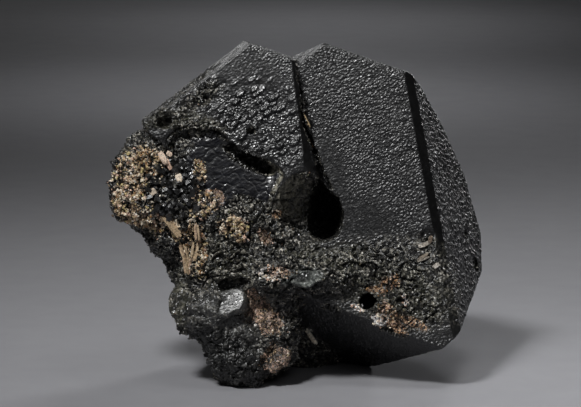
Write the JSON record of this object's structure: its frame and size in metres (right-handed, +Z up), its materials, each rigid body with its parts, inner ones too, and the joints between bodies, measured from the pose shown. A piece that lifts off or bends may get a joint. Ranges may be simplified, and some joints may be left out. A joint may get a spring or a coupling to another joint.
{
  "type": "mineral specimen",
  "caption": "Alabandite hand specimen: intergrown blocky black octahedral crystals with a deep cavity between them, on rough carbonate-crusted rock.",
  "frame": {"origin": "bottom centre of the specimen's box, on the surface it rests on", "axes": "+Z up as it rests, +X to the right of someone who faces the two large crystal faces, -Y towards them"},
  "size_m": [0.0598, 0.0406, 0.0531],
  "materials": {
    "alabandite": "iron-black crystals with a submetallic shine and finely pitted faces; dull dark grey rock with tan, cream, pink and orange carbonate crust"
  },
  "bodies": {
    "root": {"alabandite": "alabandite"}
  },
  "joints": []
}
